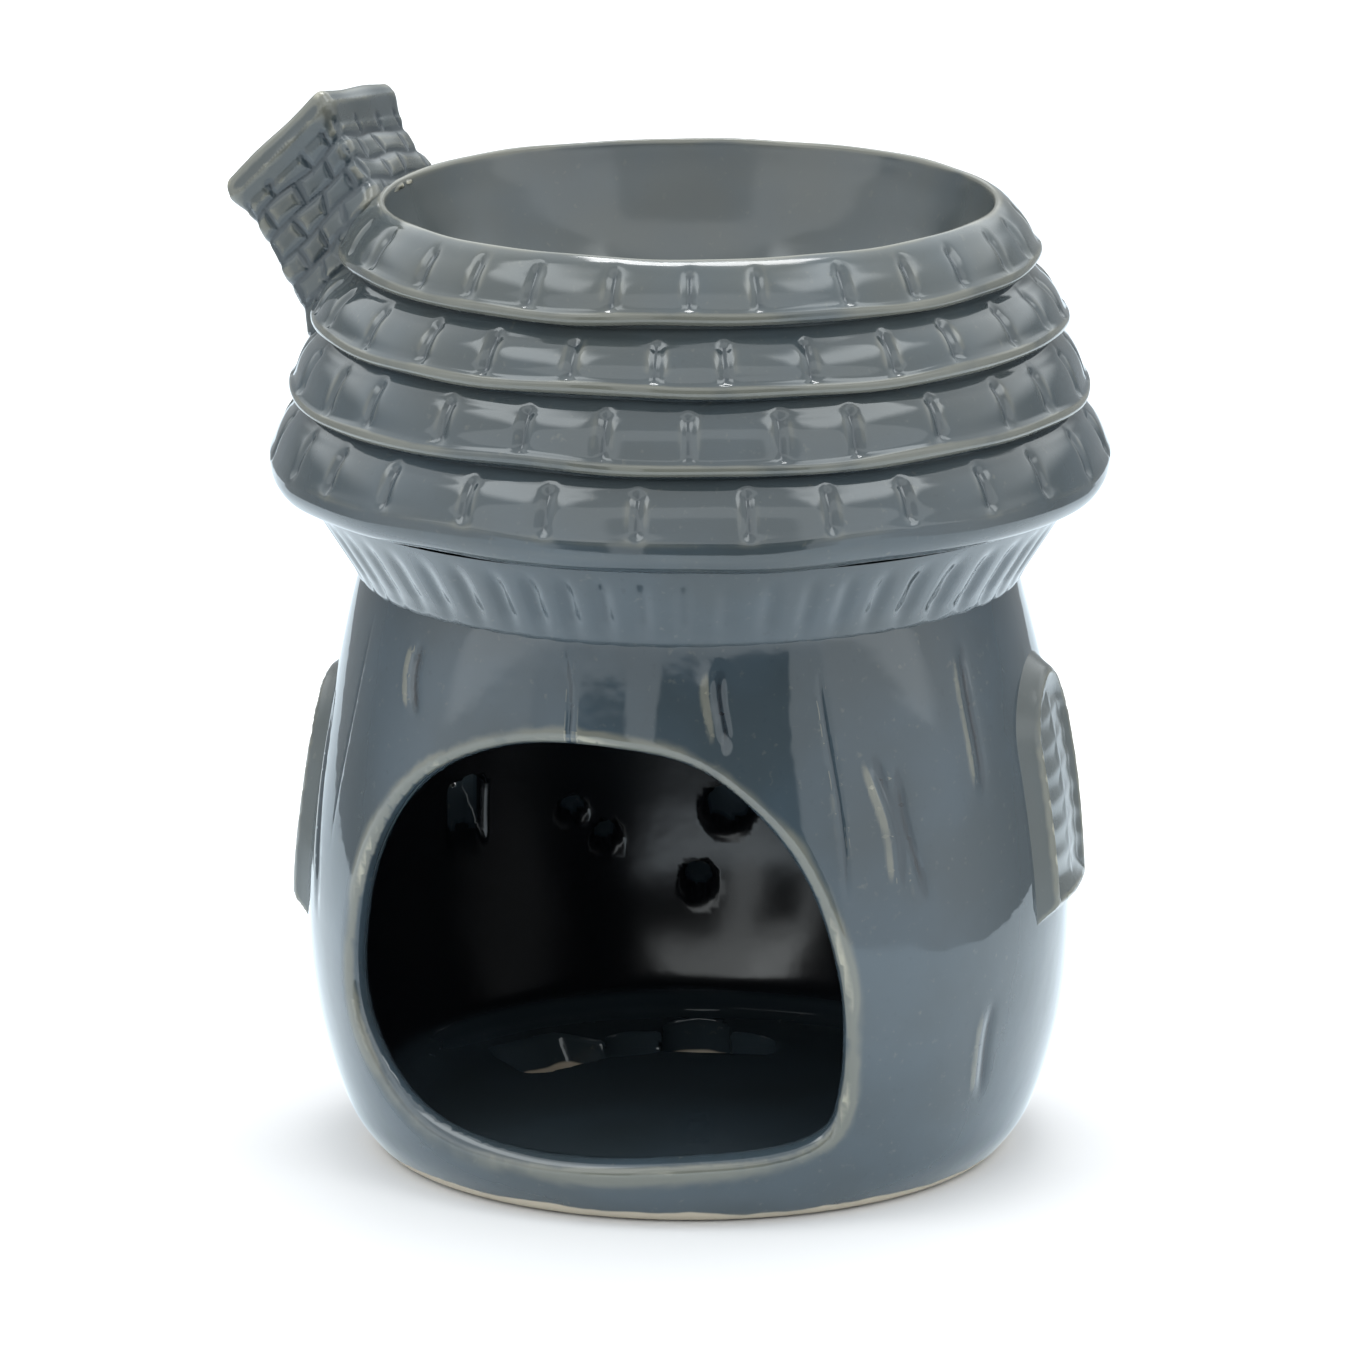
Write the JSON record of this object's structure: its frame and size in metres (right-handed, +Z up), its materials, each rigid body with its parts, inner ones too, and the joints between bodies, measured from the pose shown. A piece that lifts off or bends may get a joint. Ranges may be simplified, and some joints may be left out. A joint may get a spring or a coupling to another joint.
{
  "type": "mushroom house oil burner",
  "caption": "Glazed pottery oil burner shaped as a mushroom house: a hollow stalk with a door for a tealight, and a shingled cap with a chimney and an oil dish in its crown.",
  "frame": {"origin": "centre of the flat unglazed base, on the surface that the burner stands on", "axes": "+Z up the stalk's axis, -Y out through the door, -X towards the chimney"},
  "size_m": [0.1115, 0.1052, 0.1336],
  "materials": {
    "slate_glaze": "glossy blue-grey ceramic glaze that breaks to cream on raised edges",
    "bare_clay": "unglazed cream stoneware"
  },
  "bodies": {
    "root": {"floor_slab": "bare_clay", "stalk_wall": "slate_glaze", "roof_shell": "slate_glaze", "oil_dish": "slate_glaze", "chimney_stack": "slate_glaze", "chimney_cap": "slate_glaze", "right_window_frame": "slate_glaze", "right_window_panes": "slate_glaze", "left_window_frame": "slate_glaze", "left_window_panes": "slate_glaze"}
  },
  "joints": []
}
